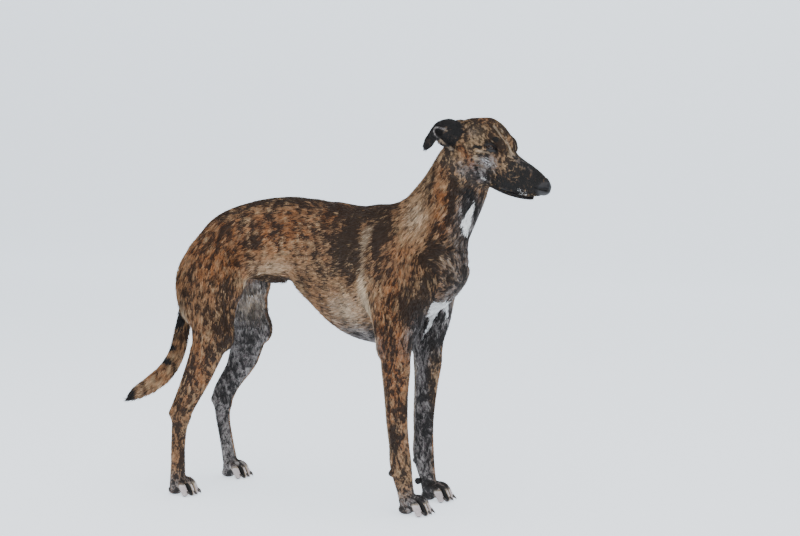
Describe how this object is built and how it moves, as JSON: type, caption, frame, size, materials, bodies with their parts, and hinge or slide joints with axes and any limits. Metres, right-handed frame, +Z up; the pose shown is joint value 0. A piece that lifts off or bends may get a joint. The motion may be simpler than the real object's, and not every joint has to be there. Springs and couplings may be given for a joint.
{
  "type": "greyhound model",
  "caption": "Life-size still greyhound standing square on four paws, head turned slightly to its right, ears folded back, tail hanging low, short brindle coat.",
  "frame": {"origin": "middle of the length and width, on the floor under the paws", "axes": "+X from tail to nose, +Y to the dog's left, +Z up from the floor"},
  "size_m": [1.1536, 0.2961, 0.9147],
  "materials": {
    "brindle_coat": "matt short coat, tan with dark brown streaks",
    "dark_coat": "matt short coat, charcoal and dark brown",
    "grey_coat": "matt short coat, grey speckled with black",
    "nose_leather": "moist black skin",
    "eye": "wet gloss, dark brown iris",
    "claw": "dark horn, satin"
  },
  "bodies": {
    "root": {"ear_left": "dark_coat", "ear_right": "dark_coat", "eye_left": "eye", "eye_right": "eye", "fore_pastern_left": "grey_coat", "fore_pastern_left_dewclaw": "claw", "fore_pastern_right": "grey_coat", "fore_pastern_right_dewclaw": "claw", "fore_paw_left": "grey_coat", "fore_paw_left_claw_inner": "claw", "fore_paw_left_claw_mid_inner": "claw", "fore_paw_left_claw_mid_outer": "claw", "fore_paw_left_claw_outer": "claw", "fore_paw_right": "grey_coat", "fore_paw_right_claw_inner": "claw", "fore_paw_right_claw_mid_inner": "claw", "fore_paw_right_claw_mid_outer": "claw", "fore_paw_right_claw_outer": "claw", "forearm_left": "brindle_coat", "forearm_right": "brindle_coat", "head": "dark_coat", "hind_pastern_left": "grey_coat", "hind_pastern_right": "grey_coat", "hind_paw_left": "grey_coat", "hind_paw_left_claw_inner": "claw", "hind_paw_left_claw_mid_inner": "claw", "hind_paw_left_claw_mid_outer": "claw", "hind_paw_left_claw_outer": "claw", "hind_paw_right": "grey_coat", "hind_paw_right_claw_inner": "claw", "hind_paw_right_claw_mid_inner": "claw", "hind_paw_right_claw_mid_outer": "claw", "hind_paw_right_claw_outer": "claw", "lower_jaw": "dark_coat", "lower_thigh_left": "brindle_coat", "lower_thigh_right": "brindle_coat", "neck": "brindle_coat", "nose": "nose_leather", "shoulder_left": "brindle_coat", "shoulder_right": "brindle_coat", "tail_base": "brindle_coat", "tail_tip": "dark_coat", "thigh_left": "brindle_coat", "thigh_right": "brindle_coat", "torso": "brindle_coat"}
  },
  "joints": []
}
